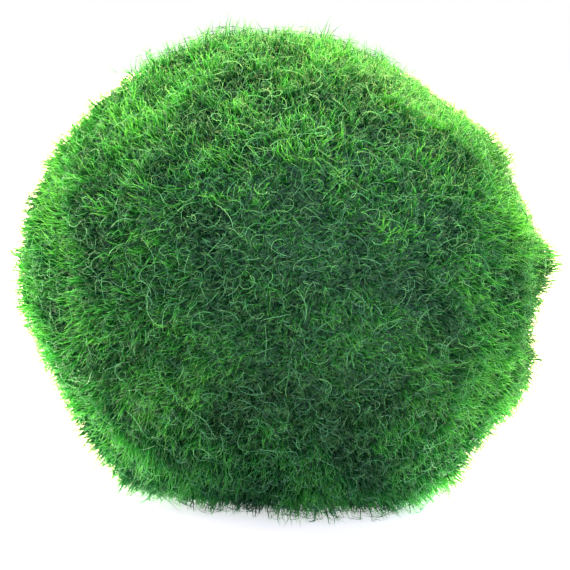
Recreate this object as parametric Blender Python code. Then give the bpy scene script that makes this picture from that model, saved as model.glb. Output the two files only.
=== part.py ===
"""Marimo moss ball: one felted ball of a green alga, a little flattened where it rests and where it was pressed.

The ball is a radial surface: every point lies on a ray from the ball's middle, at a reach that starts as an ellipsoid's,
is held back by the pressed sides, and grows out at the lumps, the side tufts and the small tufts of the nap.
Metres, +Z up. -Y is the side seen first, +X is on its right. The origin is the middle of the footprint's box, at the
resting spot.
"""

import math

import bmesh
import bpy
from mathutils import Vector, noise

MM = 0.001

# The ellipsoid that the ball would be without its flats and lumps
HALF_WIDTH = 26.9 * MM
HALF_DEPTH = 26.0 * MM
HALF_HEIGHT = 24.3 * MM

# Middle of the ball above the resting spot, and how softly the spot's rim turns into the side
REST_HEIGHT = 23.1 * MM
REST_ROUNDING = 0.6 * MM

# Sides pressed flat: a direction out of the ball, and how far the flat lies from its middle
PRESSED_SIDES = (
    ((0.54, -0.05, 0.84), 21.9 * MM),  # long slope from the crown down to the right
    ((0.92, 0.00, 0.40), 23.4 * MM),  # right side above the tuft
    ((1.00, -0.05, -0.15), 23.4 * MM),  # right side below the tuft
    ((0.71, -0.05, -0.71), 24.4 * MM),  # low right
    ((-0.45, 0.15, 0.88), 24.8 * MM),  # left of the crown
    ((0.00, 0.05, 1.00), 24.2 * MM),  # crown
    ((-0.86, 0.00, -0.51), 25.5 * MM),  # left side below the middle
    ((-0.62, 0.20, -0.75), 26.3 * MM),  # low left
    ((0.30, 0.95, 0.10), 24.6 * MM),  # back
    ((-0.55, 0.70, -0.45), 25.2 * MM),  # low at the back
)
PRESSED_ROUNDING = 2.4 * MM

# Broad lumps: a direction, the half width of the lump as an angle, and its height
LUMPS = (
    ((0.89, 0.0, -0.46), 0.25, 3.5 * MM),  # corner low on the right
    ((0.46, -0.28, -0.85), 0.32, 2.5 * MM),  # right of the resting spot
    ((-0.98, 0.0, -0.12), 0.32, 1.6 * MM),  # left side
    ((-0.62, -0.12, -0.77), 0.36, 2.5 * MM),  # low left
    ((-0.88, 0.0, 0.48), 0.30, 0.7 * MM),  # high left
    ((-0.50, 0.0, 0.87), 0.24, 1.2 * MM),  # left of the crown
    ((0.05, -1.0, 0.10), 0.60, 0.5 * MM),  # front
    ((-0.35, 0.85, 0.40), 0.42, 1.1 * MM),  # high at the back
    ((0.55, 0.75, -0.35), 0.38, 0.9 * MM),  # right at the back
    ((0.05, 0.40, -0.91), 0.42, 0.8 * MM),  # behind the resting spot
)

# Tufts that stand out of the side, narrower than the lumps
SIDE_TUFTS = (
    ((1.00, -0.09, 0.00), 0.19, 3.0 * MM),  # at the right
    ((0.82, -0.05, 0.57), 0.15, 1.3 * MM),  # on the slope's lower end
    ((0.57, -0.10, -0.82), 0.10, 1.7 * MM),  # beside the resting spot
    ((-0.55, 0.82, 0.10), 0.10, 1.1 * MM),  # at the back
)

# Small tufts of the nap all over
TUFT_SPACING = 4.2 * MM
TUFT_HEIGHT = 1.5 * MM
SWELL_SPACING = 14.0 * MM
SWELL_HEIGHT = 0.5 * MM

# Faces along each edge of the cube that is blown up to the ball
GRID_FACES = 26

NODE_NAME = "moss_ball"
MOSS_GREEN = (0.075, 0.270, 0.055, 1.0)
MOSS_ROUGHNESS = 0.9


def smooth_lower(first: float, second: float, rounding: float) -> float:
    """Return the lower of two reaches, with the corner between them rounded over."""
    blend = max(0.0, rounding - abs(first - second)) / rounding
    return min(first, second) - 0.25 * rounding * blend * blend


def swelling(ray: Vector, direction: tuple, half_width: float, height: float) -> float:
    """Return the height of a round lump where a ray leaves the ball."""
    angle = ray.angle(Vector(direction))
    return height * math.exp(-((angle / half_width) ** 2))


def reach(ray: Vector) -> float:
    """Return how far the ball reaches from its middle along a unit ray."""
    along = math.sqrt((ray.x / HALF_WIDTH) ** 2 + (ray.y / HALF_DEPTH) ** 2 + (ray.z / HALF_HEIGHT) ** 2)
    length = 1.0 / along
    for direction, distance in PRESSED_SIDES:
        facing = ray.dot(Vector(direction).normalized())
        if facing > 0.5:
            length = smooth_lower(length, distance / facing, PRESSED_ROUNDING)
    for direction, half_width, height in LUMPS + SIDE_TUFTS:
        length += swelling(ray, direction, half_width, height)
    place = ray * HALF_WIDTH
    length += SWELL_HEIGHT * noise.noise(place / SWELL_SPACING)
    length += TUFT_HEIGHT * (abs(noise.noise(place / TUFT_SPACING)) - 0.2)
    if ray.z < -0.5:
        length = smooth_lower(length, REST_HEIGHT / -ray.z, REST_ROUNDING)
    return length


def even_ray(corner: Vector) -> Vector:
    """Turn a point on a cube of half size 1 into a unit ray, with the grid's lines at even angles."""
    quarter = math.pi / 4
    return Vector([math.tan(value * quarter) for value in corner]).normalized()


def ball_mesh() -> bpy.types.Mesh:
    """Build the ball's closed surface around the origin, with its lowest points on one plane."""
    shape = bmesh.new()
    bmesh.ops.create_cube(shape, size=2.0)
    bmesh.ops.subdivide_edges(shape, edges=shape.edges[:], cuts=GRID_FACES - 1, use_grid_fill=True)
    for vert in shape.verts:
        ray = even_ray(vert.co)
        vert.co = ray * reach(ray)
        if vert.co.z < -(REST_HEIGHT - 0.25 * REST_ROUNDING):
            vert.co.z = -REST_HEIGHT
    bmesh.ops.recalc_face_normals(shape, faces=shape.faces[:])
    mesh = bpy.data.meshes.new(NODE_NAME)
    shape.to_mesh(mesh)
    shape.free()
    return mesh


def set_on_origin(mesh: bpy.types.Mesh) -> None:
    """Move the mesh so that the middle of its footprint's box is at the origin, and its lowest points at height 0."""
    places = [vert.co for vert in mesh.vertices]
    middle = [(min(p[axis] for p in places) + max(p[axis] for p in places)) / 2 for axis in range(2)]
    lowest = min(p.z for p in places)
    for vert in mesh.vertices:
        vert.co -= Vector((middle[0], middle[1], lowest))


def moss_material() -> bpy.types.Material:
    """Return the dull green of the wet nap."""
    material = bpy.data.materials.new("moss")
    material.use_nodes = True
    shader = material.node_tree.nodes["Principled BSDF"]
    shader.inputs["Base Color"].default_value = MOSS_GREEN
    shader.inputs["Roughness"].default_value = MOSS_ROUGHNESS
    shader.inputs["Metallic"].default_value = 0.0
    return material


def main() -> None:
    """Clear the scene and build the ball."""
    for old in list(bpy.data.objects):
        bpy.data.objects.remove(old, do_unlink=True)
    mesh = ball_mesh()
    set_on_origin(mesh)
    mesh.materials.append(moss_material())
    mesh.shade_smooth()
    ball = bpy.data.objects.new(NODE_NAME, mesh)
    bpy.context.scene.collection.objects.link(ball)


if __name__ == "__main__":
    main()
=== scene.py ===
"""Looks of a marimo moss ball: a felted green ball with a soft nap of fine filaments and pale curly threads.

The ball's felt lies a nap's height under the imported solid. Geometry Nodes plant the filaments on it, lean
them together into small tufts and lay curly threads over them. Metres, +Z up, and -Y is the side seen first.
"""

import logging
import math
import random
from dataclasses import dataclass, field
from enum import Enum
from typing import Any, Iterable, Optional, Union

import bmesh
import bpy
from bpy.types import ColorRamp, Material, Mesh, Node, NodeSocket, NodeTree, Object
from mathutils import Matrix, Vector, noise


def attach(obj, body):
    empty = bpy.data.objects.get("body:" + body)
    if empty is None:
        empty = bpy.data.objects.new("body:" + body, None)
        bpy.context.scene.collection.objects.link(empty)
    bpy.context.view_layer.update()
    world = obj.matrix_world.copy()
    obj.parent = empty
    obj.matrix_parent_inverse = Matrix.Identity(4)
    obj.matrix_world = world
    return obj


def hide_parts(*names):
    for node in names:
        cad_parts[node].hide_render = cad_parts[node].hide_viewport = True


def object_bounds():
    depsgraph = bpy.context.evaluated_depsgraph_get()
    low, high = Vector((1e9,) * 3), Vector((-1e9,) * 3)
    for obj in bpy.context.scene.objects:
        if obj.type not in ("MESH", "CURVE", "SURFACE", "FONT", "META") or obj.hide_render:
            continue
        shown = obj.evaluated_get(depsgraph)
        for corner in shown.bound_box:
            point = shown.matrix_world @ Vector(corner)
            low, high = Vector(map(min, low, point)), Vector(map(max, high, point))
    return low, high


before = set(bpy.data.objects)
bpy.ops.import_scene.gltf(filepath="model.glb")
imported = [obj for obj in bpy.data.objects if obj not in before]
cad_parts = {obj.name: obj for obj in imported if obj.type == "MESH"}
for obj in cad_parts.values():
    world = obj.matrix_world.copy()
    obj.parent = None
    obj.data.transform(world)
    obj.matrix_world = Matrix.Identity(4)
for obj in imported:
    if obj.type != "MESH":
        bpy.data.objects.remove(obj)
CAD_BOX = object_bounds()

MM = 0.001
NODE = "moss_ball"
BODY = "root"
BAKE_MAP = "OFBake"

# Points closer together than this are one
MERGE_DISTANCE = 1e-6

# Directions along a golden spiral, and how far each is moved from its place, in spacings
GOLDEN_ANGLE = math.pi * (3.0 - math.sqrt(5.0))
RAY_SCATTER = 1.6

# What grows stands between the ray from the ball's middle and the felt's own direction, which has this weight
NORMAL_WEIGHT = 0.5

# The nap grows higher in some places than in others: by how much in all, and how many swells for each metre
SWELL = 1.5
SWELL_SCALE = 260.0

# The map of a strand: where it starts, how much of it the families and lengths take, and one strand's width
MAP_START = 0.02
MAP_SHARE = 0.94
MAP_WIDTH = 0.012

# The sides of a strand
STRAND_SIDES = 3

# The middle of a noise pattern, as a number and as a colour
MIDDLE_VALUE = 0.5
MIDDLE_COLOUR = (0.5, 0.5, 0.5)

# What the trees keep on a strand's points while it grows, and the finished mesh does without
STRAND_NOTES = {
    "ray", "out", "root", "tip", "bend", "family", "along", "around", "fore", "side", "swing", "rise",
}

log = logging.getLogger("moss_ball")

Value = Union["Wire", float, int, tuple]
Layer = Union["Nap", "Curls"]
Colour = tuple[float, float, float]
Stops = tuple[tuple[float, Colour], ...]
Direction = tuple[float, float, float]
Span = tuple[float, float]


class Wire:
    """The value of a node's output, which Python's operators join with Math and Vector Math nodes."""

    def __init__(self, book: "NodeBook", socket: NodeSocket) -> None:
        """Keep the socket and the book that its node is in."""
        self.book = book
        self.socket = socket

    def is_vector(self) -> bool:
        """Say whether the value is a vector."""
        return self.socket.type == "VECTOR"

    def other(self, name: str) -> "Wire":
        """Return another output of the same node."""
        return Wire(self.book, pick(self.socket.node.outputs, name))

    def __add__(self, value: Value) -> "Wire":
        """Add on the right."""
        return self.book.join("ADD", self, value)

    def __radd__(self, value: Value) -> "Wire":
        """Add on the left."""
        return self.book.join("ADD", value, self)

    def __sub__(self, value: Value) -> "Wire":
        """Take a value away."""
        return self.book.join("SUBTRACT", self, value)

    def __rsub__(self, value: Value) -> "Wire":
        """Take this away from a value."""
        return self.book.join("SUBTRACT", value, self)

    def __mul__(self, value: Value) -> "Wire":
        """Multiply on the right."""
        return self.book.join("MULTIPLY", self, value)

    def __rmul__(self, value: Value) -> "Wire":
        """Multiply on the left."""
        return self.book.join("MULTIPLY", value, self)

    def __truediv__(self, value: Value) -> "Wire":
        """Divide by a value."""
        return self.book.join("DIVIDE", self, value)

    def __pow__(self, value: Value) -> "Wire":
        """Raise a number to a power."""
        return self.book.join("POWER", self, value)


def pick(sockets: Iterable[NodeSocket], name: Optional[str]) -> NodeSocket:
    """Find a socket in use.

    Args:
        sockets: A node's inputs or outputs.
        name: The socket's name, or None for the first one.

    Returns:
        The first enabled socket of that name.
    """
    return next(s for s in sockets if s.enabled and name in (None, s.name))


class NodeBook:
    """Writes the nodes of one tree."""

    def __init__(self, tree: NodeTree) -> None:
        """Keep the tree."""
        self.tree = tree

    def feed(self, socket: NodeSocket, value: Any) -> None:
        """Link a wire to an input, or set the input's own value.

        Args:
            socket: The input.
            value: The wire or the value.
        """
        if isinstance(value, Wire):
            self.tree.links.new(value.socket, socket)
        elif socket.type == "RGBA" and len(value) == 3:
            socket.default_value = (*value, 1.0)
        else:
            socket.default_value = value

    def add(self, kind: str, settings: Optional[dict[str, Any]] = None,
            sockets: Union[dict[str, Any], list[Any], None] = None, output: Optional[str] = None) -> Wire:
        """Add a node.

        Args:
            kind: The node's type.
            settings: The node's own settings, which are set first. "stops" are a colour ramp's stops.
            sockets: Values or wires of the inputs, by name, or in order for the inputs in use.
            output: The name of the output to return, or None for the first.

        Returns:
            The output.
        """
        node = self.tree.nodes.new(kind)
        for name, value in (settings or {}).items():
            if name == "stops":
                self.fill_ramp(node.color_ramp, value)
            else:
                setattr(node, name, value)
        if isinstance(sockets, list):
            for socket, value in zip([s for s in node.inputs if s.enabled], sockets):
                self.feed(socket, value)
        else:
            for name, value in (sockets or {}).items():
                self.feed(pick(node.inputs, name), value)
        outputs = [s for s in node.outputs if s.enabled]
        return Wire(self, pick(node.outputs, output)) if outputs else None

    @staticmethod
    def fill_ramp(ramp: ColorRamp, stops: Stops) -> None:
        """Give a colour ramp its stops.

        Args:
            ramp: The ramp.
            stops: Each stop's place and colour.
        """
        while len(ramp.elements) < len(stops):
            ramp.elements.new(0.5)
        for element, (place, colour) in zip(ramp.elements, stops):
            element.position = place
            element.color = (*colour, 1.0)

    def join(self, operation: str, first: Value, second: Value) -> Wire:
        """Join two values with a Math node, or with a Vector Math node where either is a vector.

        Args:
            operation: The node's operation.
            first: The first value.
            second: The second value.

        Returns:
            The result.
        """
        vectors = [value for value in (first, second)
                   if isinstance(value, tuple) or (isinstance(value, Wire) and value.is_vector())]
        if not vectors:
            return self.add("ShaderNodeMath", {"operation": operation}, [first, second])
        if len(vectors) == 1 and operation == "MULTIPLY":
            number = second if vectors[0] is first else first
            return self.add("ShaderNodeVectorMath", {"operation": "SCALE"},
                            {"Vector": vectors[0], "Scale": number})
        return self.add("ShaderNodeVectorMath", {"operation": operation}, [first, second])

    def number(self, operation: str, *values: Value, clamp: bool = False) -> Wire:
        """Add a Math node."""
        return self.add("ShaderNodeMath", {"operation": operation, "use_clamp": clamp}, list(values))

    def vector(self, operation: str, *values: Value) -> Wire:
        """Add a Vector Math node."""
        return self.add("ShaderNodeVectorMath", {"operation": operation}, list(values))

    def xyz(self, x: Value, y: Value, z: Value) -> Wire:
        """Join three numbers into a vector."""
        return self.add("ShaderNodeCombineXYZ", None, [x, y, z])

    def part(self, vector: Wire, axis: str) -> Wire:
        """Take one coordinate out of a vector."""
        return self.add("ShaderNodeSeparateXYZ", None, [vector], axis)

    def mix(self, share: Value, first: Value, second: Value, kind: str = "RGBA") -> Wire:
        """Mix two colours, or two of another kind of value."""
        return self.add("ShaderNodeMix", {"data_type": kind}, {"Factor": share, "A": first, "B": second})

    def ramp(self, place: Wire, stops: Stops) -> Wire:
        """Turn a number into a colour between stops."""
        return self.add("ShaderNodeValToRGB", {"stops": stops}, [place])

    def noise(self, place: Wire, scale: float, detail: float = 0.0, output: str = "Fac") -> Wire:
        """Read a noise pattern; its scale is in lumps for each metre."""
        sockets = {"Vector": place, "Scale": scale, "Detail": detail}
        return self.add("ShaderNodeTexNoise", None, sockets, output)


class GrowthBook(NodeBook):
    """Writes a Geometry Nodes tree whose input is the felt and whose output is what grows on it."""

    def __init__(self, name: str) -> None:
        """Start the tree with its input and output."""
        tree = bpy.data.node_groups.new(name, "GeometryNodeTree")
        super().__init__(tree)
        tree.interface.new_socket("Felt", in_out="INPUT", socket_type="NodeSocketGeometry")
        tree.interface.new_socket("Growth", in_out="OUTPUT", socket_type="NodeSocketGeometry")
        self.group_in = tree.nodes.new("NodeGroupInput")
        self.group_out = tree.nodes.new("NodeGroupOutput")

    def given(self, name: str, kind: str = "NodeSocketFloat") -> Wire:
        """Add a named input to the tree, or return the one that is there.

        Args:
            name: The input's name.
            kind: The type of its socket.

        Returns:
            The input's value.
        """
        names = [item.name for item in self.tree.interface.items_tree]
        if name not in names:
            self.tree.interface.new_socket(name, in_out="INPUT", socket_type=kind)
        return Wire(self, self.group_in.outputs[name])

    def finish(self, curves: Wire, path: Wire, fullness: Wire) -> None:
        """Lay curves along their way over the floor, turn them into dressed strands and end the tree.

        Args:
            curves: The curves.
            path: The places of their points.
            fullness: How thick a strand is there, next to its usual thickness.
        """
        height = self.number("MAXIMUM", self.part(path, "Z"), self.given("Floor"))
        place = self.xyz(self.part(path, "X"), self.part(path, "Y"), height)
        curves = self.add("GeometryNodeSetPosition", None, {"Geometry": curves, "Position": place})
        strands = self.tubes(curves, self.given("Thickness") * 0.5 * fullness)
        whole = self.add("GeometryNodeRealizeInstances", None, {"Geometry": strands})
        smooth = self.add("GeometryNodeSetShadeSmooth", None, {"Geometry": whole})
        dressed = self.add("GeometryNodeSetMaterial", None,
                           {"Geometry": smooth, "Material": self.given("Material", "NodeSocketMaterial")})
        self.tree.links.new(dressed.socket, self.group_out.inputs[0])

    def chance(self, low: Value, high: Value, draw: int, tuft: Optional[Wire] = None) -> Wire:
        """Draw a random number, or a vector where the limits are vectors.

        Args:
            low: The lowest value.
            high: The highest value.
            draw: The number of this draw in the tree.
            tuft: The tuft that the draw is for, the same in every layer, or None for a draw of each element.

        Returns:
            The number or vector.
        """
        kind = "FLOAT_VECTOR" if isinstance(low, tuple) else "FLOAT"
        sockets: dict[str, Any] = {"Min": low, "Max": high}
        if tuft is None:
            sockets["Seed"] = self.given("Seed", "NodeSocketInt") + draw
        else:
            sockets.update(ID=tuft, Seed=draw)
        return self.add("FunctionNodeRandomValue", {"data_type": kind}, sockets)

    def scatter(self, size: float, draw: int, tuft: Optional[Wire] = None) -> Wire:
        """Draw a random vector inside a cube around zero."""
        return self.chance((-size,) * 3, (size,) * 3, draw, tuft)

    def unit(self, vector: Wire) -> Wire:
        """Scale a vector to length 1."""
        return self.vector("NORMALIZE", vector)

    def across(self, vector: Wire, out: Wire) -> Wire:
        """Keep the part of a vector that lies along the surface whose outward direction is given."""
        return vector - out * self.vector("DOT_PRODUCT", vector, out).other("Value")

    def keep(self, geometry: Wire, name: str, value: Wire) -> Wire:
        """Store a named number or vector on each point."""
        kind = "FLOAT_VECTOR" if value.is_vector() else "FLOAT"
        return self.add("GeometryNodeStoreNamedAttribute", {"data_type": kind, "domain": "POINT"},
                        {"Geometry": geometry, "Name": name, "Value": value})

    def kept(self, name: str, vector: bool = True) -> Wire:
        """Read a named vector or number."""
        kind = "FLOAT_VECTOR" if vector else "FLOAT"
        return self.add("GeometryNodeInputNamedAttribute", {"data_type": kind}, {"Name": name})

    def rays(self, count: Wire, tufts: bool) -> Wire:
        """Spread directions along a golden spiral, each moved a little at random.

        Args:
            count: How many directions.
            tufts: Whether they are for tufts. Others lie closer together on the crowded side.

        Returns:
            The directions.
        """
        index = self.add("GeometryNodeInputIndex")
        place = index + 0.5
        height = 1.0 - 2.0 * place / count
        turn = place * GOLDEN_ANGLE
        flat = self.number("SQRT", 1.0 - height * height)
        even = self.xyz(flat * self.number("COSINE", turn), flat * self.number("SINE", turn), height)
        spacing = self.number("INVERSE_SQRT", count) * RAY_SCATTER
        moved = even + self.scatter(1.0, 0, index if tufts else None) * spacing
        if not tufts:
            moved = moved + self.given("Crowding", "NodeSocketVector")
        return self.unit(moved)

    def plant(self, count: Wire, tufts: bool = False) -> Wire:
        """Put points on the felt, with their outward direction kept on them as "out".

        Args:
            count: How many points.
            tufts: Whether they are the middles of tufts, which are the same in every layer.

        Returns:
            The points.
        """
        points = self.add("GeometryNodePoints", None, {"Count": count})
        points = self.keep(points, "ray", self.rays(count, tufts))
        ray = self.kept("ray")
        hit = self.add("GeometryNodeRaycast", {"data_type": "FLOAT"}, {
            "Target Geometry": self.given("Felt"),
            "Source Position": self.given("Middle", "NodeSocketVector"),
            "Ray Direction": ray,
            "Ray Length": 1.0,
        }, "Hit Position")
        points = self.keep(points, "out", self.unit(hit.other("Hit Normal") * NORMAL_WEIGHT + ray))
        return self.add("GeometryNodeSetPosition", None, {"Geometry": points, "Position": hit})

    def swelling(self, place: Wire) -> Wire:
        """Return how high the nap grows at a place, next to its usual height."""
        return 1.0 + (self.noise(place, SWELL_SCALE, detail=1.0) - MIDDLE_VALUE) * SWELL

    def strands(self, points: Wire, steps: int) -> Wire:
        """Put a curve on each point, with what is kept on the point passed on to it.

        Args:
            points: The points.
            steps: How many points a curve has.

        Returns:
            The curves, with how far along each point is kept on them as "along".
        """
        line = self.add("GeometryNodeCurvePrimitiveLine", None, {"End": (0.0, 0.0, MM)})
        line = self.add("GeometryNodeResampleCurve", None, {"Curve": line, "Count": steps})
        placed = self.add("GeometryNodeInstanceOnPoints", None, {"Points": points, "Instance": line})
        curves = self.add("GeometryNodeRealizeInstances", None, {"Geometry": placed})
        return self.keep(curves, "along", self.add("GeometryNodeSplineParameter"))

    def tubes(self, curves: Wire, radius: Wire) -> Wire:
        """Give curves a body of few sides, closed at both ends, with a map of family across and length up.

        Args:
            curves: The curves.
            radius: The body's radius along them.

        Returns:
            The bodies.
        """
        ring = self.add("GeometryNodeCurvePrimitiveCircle", None, {"Resolution": STRAND_SIDES, "Radius": 1.0})
        around = self.add("GeometryNodeInputIndex") / float(STRAND_SIDES)
        ring = self.keep(ring, "around", around)
        body = self.add("GeometryNodeCurveToMesh", None,
                        {"Curve": curves, "Profile Curve": ring, "Scale": radius, "Fill Caps": True})
        body = self.add("GeometryNodeMergeByDistance", None, {"Geometry": body, "Distance": MERGE_DISTANCE})
        across = self.kept("family", False) * MAP_SHARE + self.kept("around", False) * MAP_WIDTH + MAP_START
        return self.add("GeometryNodeStoreNamedAttribute", {"data_type": "FLOAT2", "domain": "CORNER"}, {
            "Geometry": body,
            "Name": BAKE_MAP,
            "Value": self.xyz(across, self.kept("along", False) * MAP_SHARE + MAP_START, 0.0),
        })


def link(piece: Object) -> Object:
    """Put an object in the scene and return it."""
    bpy.context.scene.collection.objects.link(piece)
    return piece


def grow(layer: Layer, felt: Object, middle: Vector, material: Material, sizes: dict[str, Any]) -> Object:
    """Run a layer's tree on the felt and turn the result into a plain object.

    Args:
        layer: The layer.
        felt: The felt.
        middle: The ball's middle, which the strands point away from.
        material: The strands' material.
        sizes: The inputs by name that only this kind of layer has.

    Returns:
        The new object, with no modifier.
    """
    book = layer.tree()
    values = {
        "Strands": layer.count,
        "Middle": middle[:],
        "Seed": layer.seed,
        "Thickness": layer.thickness,
        "Floor": layer.thickness,
        "Material": material,
        **sizes,
    }
    host = link(bpy.data.objects.new("host", felt.data.copy()))
    modifier = host.modifiers.new("growth", "NODES")
    modifier.node_group = book.tree
    for item in book.tree.interface.items_tree:
        if item.in_out == "INPUT" and item.name in values:
            modifier[item.identifier] = values[item.name]
    depsgraph = bpy.context.evaluated_depsgraph_get()
    mesh = bpy.data.meshes.new_from_object(host.evaluated_get(depsgraph), preserve_all_data_layers=True,
                                           depsgraph=depsgraph)
    host.modifiers.remove(modifier)
    bpy.data.objects.remove(host)
    mesh.name = layer.name
    for attribute in list(mesh.attributes):
        if attribute.name in STRAND_NOTES:
            mesh.attributes.remove(attribute)
    return link(bpy.data.objects.new(layer.name, mesh))


def hand_over(piece: Object) -> None:
    """Let a piece ride on the ball's body in place of the plain solid, and report it.

    Args:
        piece: A finished piece.
    """
    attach(piece, BODY)
    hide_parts(NODE)
    triangles = sum(len(face.vertices) - 2 for face in piece.data.polygons)
    log.info("%s: %d triangles", piece.name, triangles)


def new_material(name: str) -> tuple[Material, NodeBook, Node]:
    """Make a material with one output node.

    Args:
        name: The material's name.

    Returns:
        The material, the writer of its nodes and its output node.
    """
    material = bpy.data.materials.new(name)
    material.use_nodes = True
    material.node_tree.nodes.clear()
    book = NodeBook(material.node_tree)
    end = material.node_tree.nodes.new("ShaderNodeOutputMaterial")
    return material, book, end


@dataclass(frozen=True)
class StrandFinish:
    """A strand of the alga: a wet, see-through green tube, darker and bluer at its root, pale at its end.
    The darker, bluer root is painted shade and painted bluish sheen deep in the nap; the pale end is partly
    painted light: glints and the bright fringe at the rim.

    Each strand belongs to a family, a number from 0 to 1 that picks its colours from the stops.
    """

    name: str
    shaded_root_stops: Stops
    tip_stops: Stops
    glow_stops: Stops
    end_colour: Colour
    end_share: float
    see_through: float
    roughness: float
    specular: float
    end_power: float = 6.0

    def material(self) -> Material:
        """Write the material, whose colour follows the strand's map: family across, length up.

        Returns:
            The material.
        """
        material, book, end = new_material(self.name)
        place = book.add("ShaderNodeUVMap", {"uv_map": BAKE_MAP})
        family = (book.part(place, "X") - MAP_START) / MAP_SHARE
        along = (book.part(place, "Y") - MAP_START) / MAP_SHARE
        # The root colours are painted shade and painted bluish sheen deep in the nap
        low = book.ramp(family, self.shaded_root_stops)
        high = book.ramp(family, self.tip_stops)
        # The pale end is partly painted light: glints and the bright fringe at the rim
        pale = along ** self.end_power * self.end_share
        colour = book.mix(pale, book.mix(along, low, high), self.end_colour)
        surface = book.add("ShaderNodeBsdfPrincipled", None, {
            "Base Color": colour,
            "Roughness": self.roughness,
            "Specular IOR Level": self.specular,
        })
        glow = book.ramp(family, self.glow_stops)
        lit = book.mix(pale, book.mix(along, low, glow), self.end_colour)
        through = book.add("ShaderNodeBsdfTranslucent", None, {"Color": lit})
        both = book.add("ShaderNodeMixShader", None, [self.see_through, surface, through])
        book.tree.links.new(both.socket, end.inputs["Surface"])
        return material


@dataclass(frozen=True)
class FeltFinish:
    """The felted mat under the nap: a dark tangle of threads with deep gaps.

    Its darkness is partly painted shade deep under the nap, and the gap colour is painted shade between
    threads.
    """

    # Painted shade in the gaps between the felt's threads
    gap: Colour = (0.010, 0.050, 0.022)
    thread: Colour = (0.035, 0.160, 0.045)
    patch_scale: float = 160.0
    patch_detail: float = 3.0
    patch_contrast: float = 0.9
    least_thread: float = 0.35
    tangles: int = 2
    tangle_scale: float = 900.0
    tangle_detail: float = 2.0
    tangle_shift: float = 13.0 * MM
    coarsening: float = 0.3
    sharpness: float = 14.0
    relief: float = 0.15 * MM
    relief_strength: float = 0.8
    roughness: float = 0.75
    specular: float = 0.2

    def material(self) -> Material:
        """Write the material, whose threads are thin lines where noise patterns pass their middle.

        Returns:
            The material.
        """
        material, book, end = new_material("moss_felt")
        place = book.add("ShaderNodeTexCoord", None, None, "Object")
        threads = None
        for number in range(self.tangles):
            scale = self.tangle_scale * (1.0 - self.coarsening * number)
            pattern = book.noise(place + (self.tangle_shift * number, 0.0, 0.0), scale, self.tangle_detail)
            line = 1.0 - book.number("ABSOLUTE", pattern - MIDDLE_VALUE) * self.sharpness
            line = book.number("MAXIMUM", line, 0.0)
            threads = line if threads is None else book.number("MAXIMUM", threads, line)
        patches = book.noise(place, self.patch_scale, self.patch_detail)
        share = threads * (self.least_thread + patches * self.patch_contrast)
        relief = book.add("ShaderNodeBump", None, {
            "Strength": self.relief_strength,
            "Distance": self.relief,
            "Height": threads,
        }, "Normal")
        # The gap colour between the threads is painted shade
        surface = book.add("ShaderNodeBsdfPrincipled", None, {
            "Base Color": book.mix(share, self.gap, self.thread),
            "Roughness": self.roughness,
            "Specular IOR Level": self.specular,
            "Normal": relief,
        })
        book.tree.links.new(surface.socket, end.inputs["Surface"])
        return material


@dataclass
class Felt:
    """The felted ball itself, which the nap grows on."""

    nap_height: float
    smoothing: float = 0.5
    lump_spacing: float = 1.9 * MM
    lump_height: float = 0.65 * MM
    fine_spacing: float = 0.45
    fine_height: float = 0.5
    floor_gap: float = 0.25 * MM
    finish: FeltFinish = field(default_factory=FeltFinish)

    def build(self) -> Object:
        """Build the felt: the solid's form, drawn in by the nap's height and finely lumpy.

        Returns:
            The felt.
        """
        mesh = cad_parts[NODE].data.copy()
        mesh.name = "moss_felt"
        shape = bmesh.new()
        shape.from_mesh(mesh)
        bmesh.ops.remove_doubles(shape, verts=shape.verts, dist=MERGE_DISTANCE)
        shape.normal_update()
        inward = [vert.co - vert.normal * self.nap_height for vert in shape.verts]
        for vert, place in zip(shape.verts, inward):
            vert.co = place
        bmesh.ops.smooth_vert(shape, verts=shape.verts, factor=self.smoothing,
                              use_axis_x=True, use_axis_y=True, use_axis_z=True)
        shape.to_mesh(mesh)
        shape.free()
        felt = link(bpy.data.objects.new("moss_felt", mesh))
        finer = felt.modifiers.new("finer", "SUBSURF")
        finer.levels = finer.render_levels = 1
        depsgraph = bpy.context.evaluated_depsgraph_get()
        fine = bpy.data.meshes.new_from_object(felt.evaluated_get(depsgraph), depsgraph=depsgraph)
        felt.modifiers.remove(finer)
        felt.data = fine
        fine.name = "moss_felt"
        self.roughen(fine)
        return felt

    def roughen(self, mesh: Mesh) -> None:
        """Push the points in and out along their normals by two sizes of noise.

        Args:
            mesh: The felt's mesh.
        """
        for vert, normal in [(v, v.normal.copy()) for v in mesh.vertices]:
            coarse = noise.noise(vert.co / self.lump_spacing)
            fine = noise.noise(vert.co / (self.fine_spacing * self.lump_spacing))
            vert.co += normal * self.lump_height * (coarse + self.fine_height * fine)
            vert.co.z = max(vert.co.z, self.floor_gap)

    def dress(self, felt: Object) -> None:
        """Give the felt its material and shading.

        Args:
            felt: The felt.
        """
        felt.data.materials.clear()
        felt.data.materials.append(self.finish.material())
        felt.data.shade_smooth()


class Bend(Enum):
    """How finely a filament of the nap bends, as the points along it."""

    STRAIGHT = 2
    PLAIN = 3
    FINE = 4


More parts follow.
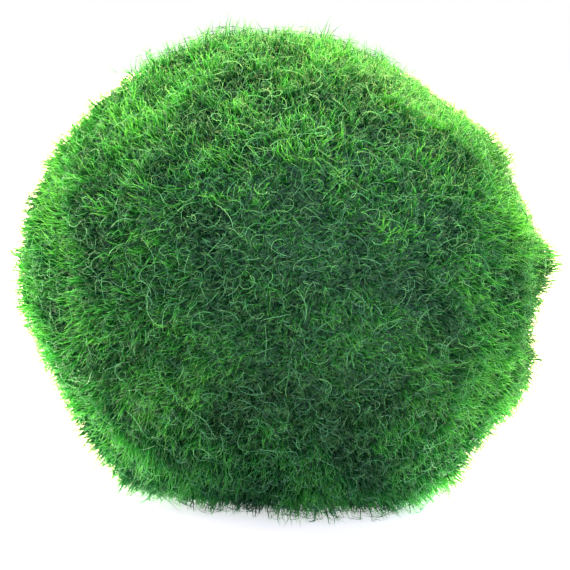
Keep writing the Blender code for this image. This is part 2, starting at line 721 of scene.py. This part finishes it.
@dataclass
class Nap:
    """One layer of the nap: filaments that stand out of the felt, lean together into tufts and bend over.

    Lean, sag and droop are shares of a filament's height. Its family, which picks its colour, changes from
    patch to patch.
    """

    name: str
    bend: Bend
    count: int
    seed: int
    height: float
    thickness: float = 0.105 * MM
    tuft_spacing: float = 1.35 * MM
    lean: float = 0.42
    sway: float = 3.4
    tuft_scatter: float = 1.7
    own_scatter: float = 1.5
    shortest: float = 0.50
    spread: float = 0.92
    spread_power: float = 2.0
    tallest_tuft: float = 1.25
    sag: float = 0.04
    droop: float = 0.16
    curl: float = 0.35 * MM
    pull: float = 0.44
    pull_range: Span = (0.3, 1.1)
    sway_scale: float = 105.0
    patch_scale: float = 190.0
    patch_contrast: float = 4.3
    patch_level: float = 1.68
    tuft_shade: float = 0.2
    own_shade: float = 0.1
    # Shifts the layer's family: darker for the fill and low layers as painted shade deep in the nap, a touch
    # paler for the fuzz as painted light at the rim
    shade: float = 0.0
    bend_power: float = 0.75
    root_width: float = 1.3
    narrowing: float = 0.5
    point_power: float = 3.0

    def tree(self) -> GrowthBook:
        """Write the tree that plants, leans and thickens the filaments.

        Returns:
            The tree's writer.
        """
        book = GrowthBook(self.name)
        height = book.given("Height")
        lean = book.given("Lean")
        points = book.plant(book.given("Strands", "NodeSocketInt"))
        place = book.add("GeometryNodeInputPosition")
        out = book.kept("out")

        tufts = book.plant(book.given("Tufts", "NodeSocketInt"), tufts=True)
        tuft = book.add("GeometryNodeSampleNearest", None, {"Geometry": tufts, "Sample Position": place})
        tuft_root, tuft_out = (
            book.add("GeometryNodeSampleIndex", {"data_type": "FLOAT_VECTOR"},
                     {"Geometry": tufts, "Value": what, "Index": tuft})
            for what in (place, out)
        )
        sway = (book.noise(place, self.sway_scale, detail=1.0, output="Color") - MIDDLE_COLOUR) * self.sway
        sag = (0.0, 0.0, -self.sag)
        tuft_lean = book.across((sway + book.scatter(self.tuft_scatter, 3, tuft)) * lean + sag, tuft_out)
        length = self.shortest + self.spread * book.chance(0.0, 1.0, 6) ** self.spread_power
        own_height = height * book.swelling(place) * length
        tuft_height = own_height * book.chance(1.0, self.tallest_tuft, 4, tuft)
        tuft_tip = tuft_root + book.unit(tuft_out + tuft_lean) * tuft_height

        own_lean = book.across((sway + book.scatter(self.own_scatter, 5)) * lean + sag, out)
        own_tip = place + book.unit(out + own_lean) * own_height
        share = book.given("Pull") * book.chance(*self.pull_range, 7)
        tip = book.mix(share, own_tip, tuft_tip, "VECTOR")
        curl = book.across(book.scatter(1.0, 8), out) * book.given("Curl")
        bend = curl - own_lean * (own_height * self.droop)
        hue = book.noise(place, self.patch_scale, detail=2.0) * self.patch_contrast - self.patch_level
        # The layer's shade darkens or pales it: painted shade deep in the nap, painted light at the rim
        hue = hue + self.shade + book.chance(-self.tuft_shade, self.tuft_shade, 9, tuft)
        family = book.number("ADD", hue, book.chance(-self.own_shade, self.own_shade, 10), clamp=True)

        for name, value in (("root", place), ("tip", tip), ("bend", bend), ("family", family)):
            points = book.keep(points, name, value)
        curves = book.strands(points, self.bend.value)
        along = book.kept("along", False) ** self.bend_power
        # The bow is 0 at both ends and 1 in the middle
        bow = along * (1.0 - along) * 4.0
        path = book.mix(along, book.kept("root"), book.kept("tip"), "VECTOR") + book.kept("bend") * bow
        fullness = (self.root_width - self.narrowing * along) * (1.0 - along ** self.point_power)
        book.finish(curves, path, fullness)
        return book

    def build(self, felt: Object, middle: Vector, material: Material) -> Object:
        """Grow the layer on the felt and return it."""
        area = sum(face.area for face in felt.data.polygons)
        return grow(self, felt, middle, material, {
            "Tufts": round(area / self.tuft_spacing ** 2),
            "Height": self.height,
            "Lean": self.lean,
            "Curl": self.curl,
            "Pull": self.pull,
        })


@dataclass
class Curls:
    """Curled filaments that lie in or on the nap in arcs and loops."""

    name: str
    nap_height: float
    count: int
    steps: int
    seed: int
    lowest: float
    highest: float
    brightest: float = 1.0
    crowding: Direction = (0.0, 0.0, 0.0)
    thickness: float = 0.062 * MM
    loop: Span = (0.30 * MM, 0.9 * MM)
    drift: Span = (0.2 * MM, 1.8 * MM)
    turns: Span = (0.15, 0.75)
    swell: Span = (0.05, 0.20)
    wobble: float = 0.3 * MM
    wobble_scale: float = 450.0
    family_power: float = 1.8
    narrowing: float = 0.9
    narrowing_power: float = 4.0

    def tree(self) -> GrowthBook:
        """Write the tree that lays a trochoid, a circle that moves on, along the surface at each point.

        Returns:
            The tree's writer.
        """
        book = GrowthBook(self.name)
        points = book.plant(book.given("Strands", "NodeSocketInt"))
        place = book.add("GeometryNodeInputPosition")
        height = book.given("Height") * book.swelling(place)
        out = book.kept("out")
        side = book.unit(book.vector("CROSS_PRODUCT", out, book.scatter(1.0, 1)))
        fore = book.vector("CROSS_PRODUCT", side, out)
        swing = book.xyz(book.chance(*self.turns, 4) * math.tau, book.chance(0.0, math.tau, 5),
                         book.chance(*self.loop, 2))
        rise = book.xyz(book.chance(*self.drift, 3), height * book.chance(self.lowest, self.highest, 6),
                        height * book.chance(*self.swell, 7))
        family = book.chance(0.0, 1.0, 8) ** self.family_power * self.brightest
        for name, value in (("root", place), ("fore", fore), ("side", side), ("swing", swing), ("rise", rise),
                            ("family", family)):
            points = book.keep(points, name, value)
        curves = book.strands(points, self.steps)
        along = book.kept("along", False)
        swing, rise = book.kept("swing"), book.kept("rise")
        angle = book.part(swing, "X") * along + book.part(swing, "Y")
        loop = book.part(swing, "Z")
        ahead = book.part(rise, "X") * (along - 0.5) + loop * book.number("COSINE", angle)
        aside = loop * book.number("SINE", angle)
        up = book.part(rise, "Y") + book.part(rise, "Z") * book.number("SINE", along * math.pi)
        path = book.kept("root") + book.kept("fore") * ahead + book.kept("side") * aside
        path = path + book.kept("out") * up
        path = path + (book.noise(path, self.wobble_scale, output="Color") - MIDDLE_COLOUR) * self.wobble
        # The ends are at -1 and 1
        ends = (along - 0.5) * 2.0
        book.finish(curves, path, book.number("SQRT", 1.0 - ends ** self.narrowing_power * self.narrowing))
        return book

    def build(self, felt: Object, middle: Vector, material: Material) -> Object:
        """Lay the curls over the felt and return them as one object."""
        return grow(self, felt, middle, material, {"Height": self.nap_height, "Crowding": self.crowding})


@dataclass(frozen=True)
class Wisp:
    """A few loose filaments that stick out of the nap or lie on the floor in front of it.

    The root is a direction from the ball's middle. The filaments turn about the turning axis on their way.
    """

    root: Direction
    heading: Direction
    length: float
    turn_deg: float
    turning_axis: Direction = (0.0, 1.0, 0.0)
    count: int = 1
    width: float = 0.02
    family: float = 0.2


@dataclass
class Strays:
    """Filaments that stand out of the nap, each a thin tube that bends one way."""

    name: str
    wisps: tuple[Wisp, ...]
    thickness: float = 0.075 * MM
    points: int = 8
    spread: float = 0.20
    length_range: Span = (0.75, 1.0)
    turn_range: Span = (-0.4, 1.5)
    family_scatter: float = 0.2
    narrowing: float = 0.85
    narrowing_power: float = 3.0
    seed: int = 121

    def build(self, felt: Object, middle: Vector, material: Material) -> Object:
        """Grow every wisp out of the felt.

        Args:
            felt: The felt.
            middle: The ball's middle.
            material: The filaments' material.

        Returns:
            The filaments as one object.
        """
        draw = random.Random(self.seed)
        shape = bmesh.new()
        strand_map = shape.loops.layers.uv.new(BAKE_MAP)
        for wisp in self.wisps:
            for _ in range(wisp.count):
                _, place, _, _ = felt.ray_cast(middle, self.shaken(wisp.root, wisp.width, draw))
                family = wisp.family + draw.uniform(-self.family_scatter, self.family_scatter)
                self.tube(shape, strand_map, self.path(wisp, place, draw), family)
        mesh = bpy.data.meshes.new(self.name)
        shape.to_mesh(mesh)
        shape.free()
        mesh.materials.append(material)
        mesh.shade_smooth()
        return link(bpy.data.objects.new(self.name, mesh))

    @staticmethod
    def shaken(direction: Direction, amount: float, draw: random.Random) -> Vector:
        """Turn a direction a little at random and return it at length 1."""
        push = Vector([draw.uniform(-amount, amount) for _ in range(3)])
        return (Vector(direction).normalized() + push).normalized()

    def path(self, wisp: Wisp, place: Vector, draw: random.Random) -> list[Vector]:
        """Walk a filament's way from its root.

        Args:
            wisp: The wisp that it belongs to.
            place: Its root.
            draw: The source of random numbers.

        Returns:
            The points of its way.
        """
        heading = self.shaken(wisp.heading, self.spread, draw)
        step = wisp.length * draw.uniform(*self.length_range) / (self.points - 1)
        turn = math.radians(wisp.turn_deg) * draw.uniform(*self.turn_range) / (self.points - 1)
        bend = Matrix.Rotation(turn, 3, Vector(wisp.turning_axis))
        way = [place.copy()]
        for _ in range(self.points - 1):
            ahead = way[-1] + heading * step
            ahead.z = max(ahead.z, self.thickness)
            way.append(ahead)
            heading = bend @ heading
        return way

    def tube(self, shape: bmesh.types.BMesh, strand_map: bmesh.types.BMLayerItem, way: list[Vector],
             family: float) -> None:
        """Add a closed tube along a way, with the map of family across and length up.

        Args:
            shape: The mesh to add to.
            strand_map: The layer of its map.
            way: The points that the tube follows.
            family: What picks its colours.
        """
        rings = []
        for number, place in enumerate(way):
            ahead = (way[min(number + 1, len(way) - 1)] - way[max(number - 1, 0)]).normalized()
            side = ahead.cross(Vector((0.0, 0.0, 1.0))).normalized()
            along = number / (len(way) - 1)
            radius = 0.5 * self.thickness * (1.0 - self.narrowing * along ** self.narrowing_power)
            arms = [Matrix.Rotation(math.tau * turn / STRAND_SIDES, 3, ahead) @ side * radius
                    for turn in range(STRAND_SIDES)]
            rings.append([shape.verts.new(place + arm) for arm in arms])
        faces = [[low[turn - 1], low[turn], high[turn], high[turn - 1]]
                 for low, high in zip(rings, rings[1:]) for turn in range(STRAND_SIDES)]
        faces += [rings[0][::-1], rings[-1]]
        heights = {vert: number / (len(rings) - 1) for number, ring in enumerate(rings) for vert in ring}
        across = family * MAP_SHARE + MAP_START + MAP_WIDTH * 0.5
        for corners in faces:
            for loop in shape.faces.new(corners).loops:
                loop[strand_map].uv = (across, heights[loop.vert] * MAP_SHARE + MAP_START)


@dataclass
class MossBall:
    """The whole ball: felt, nap, curls in the nap, and loose threads and filaments on it.

    The curls lie closer together towards the front, where the photo shows them.
    """

    felt_depth: float = 1.7 * MM
    fullest: float = 1.24
    fill_count: int = 30000
    low_count: int = 13000
    high_count: int = 19800
    tips_count: int = 3500
    fuzz_count: int = 30000
    mat_count: int = 3800
    curl_count: int = 4500
    thread_count: int = 1100
    front: Direction = (0.05, -0.36, 0.20)

    def build(self, middle: Vector) -> list[Object]:
        """Build and dress every piece of the ball.

        Args:
            middle: The ball's middle.

        Returns:
            The pieces.
        """
        felt_maker = Felt(self.felt_depth)
        felt = felt_maker.build()
        nap_material = NAP_FINISH.material()
        depth = self.felt_depth
        tall = self.fullest * depth
        growths = [
            # The fill and low layers are darkened, painted shade deep in the nap; the fuzz is a touch paler,
            # painted light at the rim
            Nap("moss_nap_fill", Bend.STRAIGHT, self.fill_count, seed=1, height=0.45 * tall,
                thickness=0.15 * MM, shade=-0.45),
            Nap("moss_nap_low", Bend.PLAIN, self.low_count, seed=11, height=0.86 * tall, shade=-0.10),
            Nap("moss_nap_high", Bend.PLAIN, self.high_count, seed=21, height=tall),
            Nap("moss_nap_tips", Bend.FINE, self.tips_count, seed=41, height=tall),
            Nap("moss_fuzz", Bend.STRAIGHT, self.fuzz_count, seed=31, height=tall,
                thickness=0.080 * MM, pull=0.15, own_scatter=2.4, shade=0.05),
            # The mat lies low in the nap and its brightest family is capped lower: painted shade
            Curls("moss_mat", depth, self.mat_count, steps=5, seed=61, lowest=0.30, highest=0.65,
                  brightest=0.7, crowding=self.front),
            Curls("moss_curls", depth, self.curl_count, steps=6, seed=81, lowest=0.60, highest=0.90,
                  crowding=self.front),
        ]
        curl_material = CURL_FINISH.material()
        pieces = [growth.build(felt, middle, nap_material if isinstance(growth, Nap) else curl_material)
                  for growth in growths]
        threads = Curls("moss_threads", depth, self.thread_count, steps=12, seed=101, lowest=0.75,
                        highest=1.0, crowding=self.front, thickness=0.048 * MM, loop=(0.20 * MM, 0.7 * MM),
                        drift=(0.4 * MM, 3.2 * MM), turns=(0.2, 1.2), wobble=0.5 * MM)
        pieces.append(threads.build(felt, middle, THREAD_FINISH.material()))
        pieces.append(Strays("moss_strays", WISPS).build(felt, middle, SHADED_STRAY_FINISH.material()))
        tuft = Strays("moss_tuft", TUFT, thickness=0.095 * MM, points=6, spread=0.16, seed=131)
        pieces.append(tuft.build(felt, middle, nap_material))
        felt_maker.dress(felt)
        return [felt, *pieces]


# Dark, bluer roots are painted shade and bluish sheen deep in the nap; the pale end is partly painted light
# at the rim
NAP_FINISH = StrandFinish(
    name="moss_nap",
    shaded_root_stops=((0.0, (0.004, 0.045, 0.020)), (1.0, (0.007, 0.090, 0.022))),
    tip_stops=((0.0, (0.007, 0.090, 0.042)), (0.5, (0.020, 0.410, 0.086)), (1.0, (0.056, 0.740, 0.122))),
    glow_stops=((0.0, (0.07, 0.47, 0.13)), (0.5, (0.25, 0.92, 0.19)), (1.0, (0.44, 0.98, 0.22))),
    end_colour=(0.76, 0.96, 0.76),
    end_share=0.60,
    see_through=0.72,
    roughness=0.42,
    specular=0.12,
)
# The curls are bluer than the nap, partly their own colour and partly painted bluish sheen at the front;
# their darker roots are painted shade
CURL_FINISH = StrandFinish(
    name="moss_curl",
    shaded_root_stops=((0.0, (0.012, 0.080, 0.045)), (1.0, (0.080, 0.360, 0.180))),
    tip_stops=((0.0, (0.012, 0.105, 0.055)), (1.0, (0.120, 0.520, 0.245))),
    glow_stops=((0.0, (0.10, 0.50, 0.14)), (1.0, (0.36, 0.90, 0.24))),
    end_colour=(0.50, 0.84, 0.50),
    end_share=0.4,
    see_through=0.50,
    roughness=0.32,
    specular=0.35,
)
# Loose filaments darkened as painted shade, so that they stand dark against the white as backlit filaments do
SHADED_STRAY_FINISH = StrandFinish(
    name="moss_stray",
    shaded_root_stops=((0.0, (0.004, 0.030, 0.006)), (1.0, (0.006, 0.050, 0.010))),
    tip_stops=((0.0, (0.016, 0.045, 0.016)), (1.0, (0.012, 0.100, 0.020))),
    glow_stops=((0.0, (0.03, 0.06, 0.02)), (1.0, (0.04, 0.16, 0.03))),
    end_colour=(0.05, 0.12, 0.05),
    end_share=0.3,
    see_through=0.15,
    roughness=0.50,
    specular=0.15,
)
# Pale threads, partly their own colour; their bluish cast is partly painted sheen, and their pale ends are
# partly painted glints
THREAD_FINISH = StrandFinish(
    name="moss_threads",
    shaded_root_stops=((0.0, (0.040, 0.25, 0.11)), (1.0, (0.14, 0.52, 0.27))),
    tip_stops=((0.0, (0.045, 0.28, 0.12)), (1.0, (0.22, 0.66, 0.35))),
    glow_stops=((0.0, (0.15, 0.64, 0.20)), (1.0, (0.42, 0.95, 0.32))),
    end_colour=(0.54, 0.90, 0.52),
    end_share=0.5,
    see_through=0.50,
    roughness=0.28,
    specular=0.45,
)

# The axis that filaments turn about when they lie on the floor, and where the loose filaments grow
FLOOR_TURN = (0.0, 0.0, 1.0)
WISPS = (
    Wisp((-1.0, -0.03, 0.02), (-0.75, 0.0, 0.45), 4.4 * MM, -50.0, count=3),  # left, at the ball's middle
    Wisp((-1.0, 0.0, -0.30), (-0.95, 0.0, 0.10), 3.4 * MM, 25.0, count=2),  # left, lower down
    Wisp((-0.49, -0.20, -0.86), (0.45, -0.80, -0.30), 7.5 * MM, 55.0, FLOOR_TURN),  # long one low on the left
    Wisp((-0.44, -0.20, -0.88), (0.55, -0.75, -0.20), 5.2 * MM, 70.0, FLOOR_TURN, 3),  # short ones beside it
    Wisp((-0.29, -0.24, -0.93), (-0.20, -0.95, -0.10), 5.6 * MM, -75.0, FLOOR_TURN),  # hook in front
    Wisp((-0.20, -0.24, -0.96), (0.10, -0.95, -0.10), 4.8 * MM, 70.0, FLOOR_TURN, 2),  # hooks right of it
    Wisp((0.58, 0.0, -0.82), (0.93, -0.05, -0.25), 4.2 * MM, 25.0, count=7),  # corner low on the right
    Wisp((0.55, 0.0, -0.85), (0.85, -0.10, -0.30), 4.0 * MM, 20.0, count=6),  # under it
    Wisp((0.70, 0.0, -0.71), (0.95, 0.0, -0.20), 3.4 * MM, 20.0, count=5),  # over it
    Wisp((0.81, 0.0, 0.59), (0.97, 0.0, 0.00), 3.8 * MM, 25.0, count=14, width=0.04, family=0.7),  # slope
)

# The pointed tuft on the right: its upper side, its middle and its under side
TUFT = (
    Wisp((1.0, -0.12, 0.13), (0.95, 0.0, -0.26), 2.9 * MM, 10.0, count=45, width=0.06, family=0.45),
    Wisp((1.0, -0.12, 0.04), (1.0, 0.0, 0.00), 3.1 * MM, 10.0, count=55, width=0.06, family=0.45),
    Wisp((1.0, -0.12, -0.06), (0.95, 0.0, 0.26), 2.8 * MM, 10.0, count=35, width=0.06, family=0.40),
)


@dataclass
class Studio:
    """A white floor, a soft surround of a few wide patches of light, and the camera.

    Each span says where a patch or a card starts to show and where it shows in full: in metres on the floor,
    or as the part of a direction that faces one way.
    """

    floor_radius: float = 1.5
    floor_segments: int = 96
    floor_colour: Colour = (0.92, 0.92, 0.92)
    floor_roughness: float = 0.9
    floor_specular: float = 0.1
    card_colour: Colour = (0.30, 0.30, 0.30)
    front_card: Span = (5.0 * MM, -30.0 * MM)
    right_card: Span = (40.0 * MM, 65.0 * MM)
    floor_glow: Colour = (0.64, 0.69, 0.64)
    beside_glow: Colour = (20.5, 20.0, 15.5)
    left_in: Span = (-8.0 * MM, -24.0 * MM)
    left_out: Span = (-85.0 * MM, -45.0 * MM)
    right_in: Span = (10.5 * MM, 19.5 * MM)
    right_out: Span = (34.0 * MM, 23.0 * MM)
    beside_front: Span = (-25.0 * MM, 2.0 * MM)
    facing_light: Colour = (5.1, 4.1, 6.8)
    facing_direction: Direction = (0.36, -0.93, 0.02)
    facing_reach: Span = (0.40, 0.95)
    around_light: Colour = (6.5, 5.6, 5.9)
    around_reach: Span = (-0.30, 0.35)
    back_dimming: float = 0.65
    back_reach: Span = (0.50, 0.90)
    left_light: Colour = (18.0, 10.6, 14.5)
    left_reach: Span = (-0.15, 0.40)
    left_height: Span = (0.5, 0.0)
    top_light: Colour = (31.0, 25.0, 3.0)
    top_direction: Direction = (0.10, 0.48, 0.87)
    top_reach: Span = (0.76, 0.97)
    white: Colour = (1.0, 1.0, 1.0)
    lens_mm: float = 120.0
    elevation_deg: float = 8.0
    distance: float = 0.1911
    aim_drop: float = 2.22 * MM
    nearest_seen: float = 10.0 * MM
    bounces: int = 14
    diffuse_bounces: int = 6
    transmission_bounces: int = 12

    def floor(self) -> None:
        """Lay a round floor: white to the camera, and to the ball dark in front and bright beside it."""
        shape = bmesh.new()
        bmesh.ops.create_circle(shape, cap_ends=True, segments=self.floor_segments, radius=self.floor_radius)
        mesh = bpy.data.meshes.new("floor")
        shape.to_mesh(mesh)
        shape.free()
        material, book, end = new_material("floor")
        seen = book.add("ShaderNodeLightPath", None, None, "Is Camera Ray")
        place = book.add("ShaderNodeTexCoord", None, None, "Object")
        back = book.part(place, "Y")
        side = book.part(place, "X")
        card = book.number("MAXIMUM", self.patch(book, back, *self.front_card),
                           self.patch(book, side, *self.right_card))
        left = self.patch(book, side, *self.left_in) * self.patch(book, side, *self.left_out)
        right = self.patch(book, side, *self.right_in) * self.patch(book, side, *self.right_out)
        glow = book.xyz(*self.beside_glow) * ((left + right) * self.patch(book, back, *self.beside_front))
        surface = book.add("ShaderNodeBsdfPrincipled", None, {
            "Base Color": book.mix(card, self.floor_colour, self.card_colour),
            "Roughness": self.floor_roughness,
            "Specular IOR Level": self.floor_specular,
            "Emission Color": book.mix(seen, glow, self.floor_glow),
            "Emission Strength": 1.0,
        })
        book.tree.links.new(surface.socket, end.inputs["Surface"])
        mesh.materials.append(material)
        floor = link(bpy.data.objects.new("floor", mesh))

    def surround(self) -> None:
        """Light the scene from all round, brightest from above, with plain white behind everything."""
        world = bpy.data.worlds.new("surround")
        bpy.context.scene.world = world
        world.use_nodes = True
        world.node_tree.nodes.clear()
        book = NodeBook(world.node_tree)
        end = world.node_tree.nodes.new("ShaderNodeOutputWorld")
        direction = book.add("ShaderNodeTexCoord", None, None, "Generated")
        back = book.part(direction, "Y")
        dimmed = 1.0 - self.patch(book, back, *self.back_reach) * self.back_dimming
        around = self.patch(book, back, *self.around_reach) * dimmed
        above = book.vector("DOT_PRODUCT", direction, self.top_direction).other("Value")
        top = self.patch(book, above, *self.top_reach)
        low = self.patch(book, book.part(direction, "Z"), *self.left_height)
        left = book.part(direction, "X") * -1.0 * low * self.patch(book, back, *self.left_reach) * dimmed
        ahead = book.vector("DOT_PRODUCT", direction, self.facing_direction).other("Value")
        light = book.xyz(*self.facing_light) * self.patch(book, ahead, *self.facing_reach)
        for share, colour in ((around, self.around_light), (left, self.left_light), (top, self.top_light)):
            light = light + book.xyz(*colour) * share
        seen = book.add("ShaderNodeLightPath", None, None, "Is Camera Ray")
        background = book.add("ShaderNodeBackground", None, {"Color": book.mix(seen, light, self.white)})
        world.node_tree.links.new(background.socket, end.inputs["Surface"])

    @staticmethod
    def patch(book: NodeBook, facing: Wire, start: float, full: float) -> Wire:
        """Fade a patch of light in from one facing or place to another."""
        return book.add("ShaderNodeMapRange", {"interpolation_type": "SMOOTHSTEP"},
                        {"Value": facing, "From Min": start, "From Max": full})

    def camera(self, middle: Vector) -> None:
        """Place the camera a little above the ball's middle, in front of it.

        Args:
            middle: The ball's middle.
        """
        data = bpy.data.cameras.new("camera")
        data.lens = self.lens_mm
        data.clip_start = self.nearest_seen
        camera = link(bpy.data.objects.new("camera", data))
        angle = math.radians(self.elevation_deg)
        back = Vector((0.0, -math.cos(angle), math.sin(angle)))
        aim = middle - Vector((0.0, 0.0, self.aim_drop))
        camera.location = aim + back * self.distance
        camera.rotation_euler = (-back).to_track_quat("-Z", "Y").to_euler()
        bpy.context.scene.camera = camera

    def build(self, middle: Vector) -> None:
        """Set up floor, light, camera and the way light becomes picture colours.

        Args:
            middle: The ball's middle.
        """
        self.floor()
        self.surround()
        self.camera(middle)
        scene = bpy.context.scene
        scene.view_settings.view_transform = "Standard"
        scene.cycles.max_bounces = self.bounces
        scene.cycles.diffuse_bounces = self.diffuse_bounces
        scene.cycles.transmission_bounces = self.transmission_bounces
        scene.cycles.use_denoising = True


def main() -> None:
    """Build the ball and the studio round it."""
    logging.basicConfig(level=logging.INFO, format="%(name)s %(message)s")
    low, high = (Vector(corner) for corner in CAD_BOX)
    middle = (low + high) / 2
    for piece in MossBall().build(middle):
        hand_over(piece)
    Studio().build(middle)


if __name__ == "__main__":
    main()
